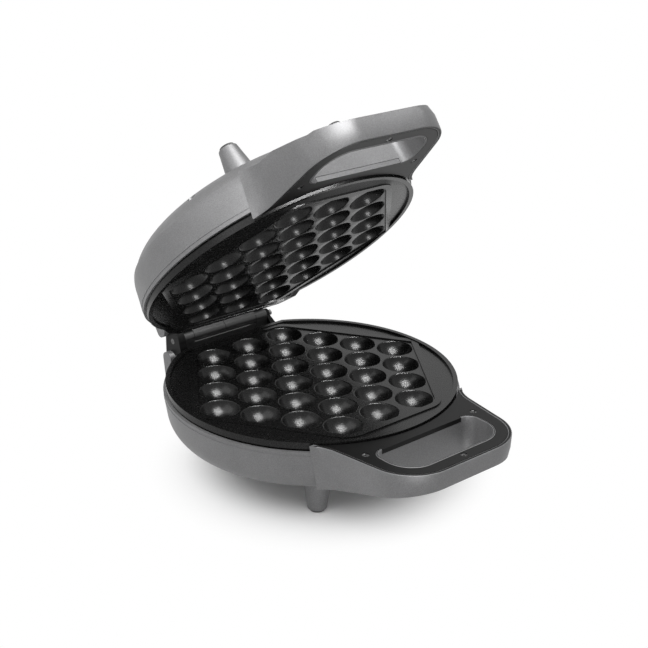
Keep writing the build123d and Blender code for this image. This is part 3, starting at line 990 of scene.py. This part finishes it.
def other_lamp(first, name):
    """A copy of a lamp's piece, moved to the other lamp."""
    made = twin(first, name)
    everything(made)
    shift(x=2 * LENS_X)
    leave()
    return made


leave()
bpy.ops.mesh.primitive_cylinder_add(vertices=48, radius=LENS_RADIUS, depth=LENS_END - LENS_FACE,
                                    location=(-LENS_X, LENS_Y, (LENS_END + LENS_FACE) / 2))
power = begin("power_lamp_lens")
pick(power, "FACE", lambda centre, normal: normal.z < -0.9)
for step_in, step_out in DOME_STEPS:
    bpy.ops.mesh.inset(thickness=step_in)
    shift(z=-step_out)
leave()
settle(power, red_lens, ROUND_SMOOTH)
ready = other_lamp(power, "ready_lamp_lens")
settle(ready, green_lens, ROUND_SMOOTH)
print("lens", span_of(power))

# %% Seals, and everything raised into the lid
SEAL_OUT = 0.0004
SEAL_THICK = 0.0005
SEAL_SINK = 0.0002
SEAL_FLATTEN = 0.7
SEAL_CENTRE = (-LENS_X, LENS_Y, LENS_FACE + SEAL_SINK)

bpy.ops.mesh.primitive_torus_add(major_segments=48, minor_segments=12, location=SEAL_CENTRE,
                                 major_radius=LENS_RADIUS + SEAL_OUT, minor_radius=SEAL_THICK)
seal = begin("power_lamp_seal")
everything(seal)
swell(1.0, 1.0, SEAL_FLATTEN, SEAL_CENTRE)
leave()
settle(seal, rubber, ROUND_SMOOTH)
second_seal = other_lamp(seal, "ready_lamp_seal")
for piece, node, slot in ((power, "power_lens", "red_lens"), (ready, "ready_lens", "green_lens"),
                          (seal, None, "frame_plastic"), (second_seal, None, "frame_plastic")):
    raise_up(piece, SHELL_SWING)
    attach(piece, "lid")
    if node:
        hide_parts(node)
leave()
print("lens", span_of(power), "seal", span_of(seal))

# %% [markdown]
# ## The trough under the hinge
#
# Between the barrel and the leaf of the base's hinge there is a black web, so no light shows
# under the barrel. It could be a plain bar, but the barrel's knuckles turn above it, so its top is
# a trough about the same pin. A narrow strip is spun about the pin to give the trough, and then
# pulled straight down to a flat foot on the leaf.

# %% Spin the trough
TROUGH_RADIUS = 0.0049
TROUGH_HALF = 0.0362
TROUGH_FRONT_ARC = 43.0
TROUGH_REAR_ARC = 8.0
TROUGH_STEPS = 10

leave()
bpy.ops.mesh.primitive_plane_add(size=2 * TROUGH_HALF,
                                 location=(0.0, HINGE_Y, HINGE_Z - TROUGH_RADIUS))
trough = begin("hinge_trough")
pick(trough, "VERT", lambda spot, normal: spot.y > HINGE_Y)
bpy.ops.mesh.delete(type="VERT")
everything(trough)
swell(1.0, 0.0, 1.0, HINGE)
leave()
everything(trough)
swing(TROUGH_FRONT_ARC, HINGE)
bpy.ops.mesh.spin(steps=TROUGH_STEPS, angle=-radians(TROUGH_FRONT_ARC + TROUGH_REAR_ARC),
                  center=HINGE, axis=(1.0, 0.0, 0.0))
leave()
print("trough after its spin", span_of(trough), len(trough.data.polygons))

# %% Pull it down to its foot
TROUGH_FOOT = 0.0532

everything(trough)
pull(0.0)
swell(1.0, 1.0, 0.0, (0.0, HINGE_Y, TROUGH_FOOT))
leave()
everything(trough)
bpy.ops.mesh.remove_doubles(threshold=0.000001)
bpy.ops.mesh.normals_make_consistent(inside=False)
leave()
settle(trough, enamel, 30.0)
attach(trough, "base")
print("trough", span_of(trough))

# %% [markdown]
# ## Floor, light and background
#
# The floor is white and keeps the object's soft shadow. Away from the object it fades into plain
# white for the camera, so no horizon shows; more light would do that too, but it would bleach the
# paint. A wide soft box high on the left and the world give all the light. Two cards are seen in
# reflections alone, as a photographer's gloss cards are: one overhead puts the bright spot into
# each cavity and casts no shadow, so the open lid doesn't hide it from the rear ones, and a low
# one in front does the same for the lid's cavities.

# %% White floor
FLOOR_SIDE = 14.0
FLOOR_BELOW = 0.0002
FADE_FROM = 0.052
FADE_OVER = 0.066


def looking(tree):
    """1 for rays that look, from the camera or by gloss or glass, and 0 for rays of light."""
    path = tree.nodes.new("ShaderNodeLightPath")
    camera_ray, gloss_ray, glass_ray = (Wire(tree, path.outputs["Is " + kind + " Ray"])
                                        for kind in ("Camera", "Glossy", "Transmission"))
    return camera_ray + gloss_ray + glass_ray


bpy.ops.mesh.primitive_plane_add(size=FLOOR_SIDE, location=(0.0, 0.0, -FLOOR_BELOW))
floor = bpy.context.object
floor.name = "studio_floor"

white = Finish("floor_white", Base_Color=grey(0.93), Roughness=0.7, Specular_IOR_Level=0.2)
away = white.node("VectorMath", "Value", {"operation": "LENGTH"}, Vector=white.place())
ramp = ((away - FADE_FROM) * (1.0 / FADE_OVER)).clamp()
fade = ramp * ramp * (3.0 - 2.0 * ramp)
glow = white.tree.nodes.new("ShaderNodeEmission")
glow.inputs["Color"].default_value = grey(1.0)
glow.inputs["Strength"].default_value = 1.0
blend = white.tree.nodes.new("ShaderNodeMixShader")
feed(white.tree, blend.inputs[0], (looking(white.tree) * fade).clamp())
white.tree.links.new(white.shader.outputs[0], blend.inputs[1])
white.tree.links.new(glow.outputs[0], blend.inputs[2])
white.tree.links.new(blend.outputs[0], white.output.inputs[0])
floor.data.materials.append(white.material)
print("floor fades from", FADE_FROM, "to", FADE_FROM + FADE_OVER)


# %% Lamps
def soft_box(name, place, target, size, power):
    """Soft rectangular lamp pointing at a target."""
    bpy.ops.object.light_add(type="AREA", location=place)
    lamp = bpy.context.object
    lamp.name = name
    lamp.data.shape = "RECTANGLE"
    lamp.data.size, lamp.data.size_y = size
    lamp.data.energy = power
    lamp.rotation_euler = (Vector(target) - Vector(place)).to_track_quat("-Z", "Y").to_euler()
    return lamp


wide_box = soft_box("wide_box", place=(-1.1, 0.35, 1.5), target=(0.0, 0.0, 0.05),
                    size=(1.8, 1.6), power=21.0)
key_card = soft_box("key_card", place=(0.0, -0.44, 1.5), target=(0.0, 0.0, 0.06),
                    size=(1.05, 1.05), power=82.0)
key_card.data.use_shadow = False
key_card.data.cycles.use_multiple_importance_sampling = False
front_card = soft_box("front_low_card", place=(-0.62, -1.25, 0.02), target=(0.0, 0.0, 0.16),
                      size=(0.42, 0.42), power=20.0)
for card in (key_card, front_card):
    card.visible_diffuse = False
print("lamps", wide_box.name, key_card.name, front_card.name)

# %% World
WORLD_FILL = 0.42

world = bpy.data.worlds.new("studio_world")
bpy.context.scene.world = world
world.use_nodes = True
tree = world.node_tree
tree.nodes.clear()
out = tree.nodes.new("ShaderNodeOutputWorld")
sky = tree.nodes.new("ShaderNodeBackground")
sky.inputs["Color"].default_value = grey(1.0)
feed(tree, sky.inputs["Strength"], looking(tree).clamp() * (1.0 - WORLD_FILL) + WORLD_FILL)
tree.links.new(sky.outputs[0], out.inputs[0])
bpy.context.scene.view_settings.view_transform = "Standard"
print("world fill", WORLD_FILL)
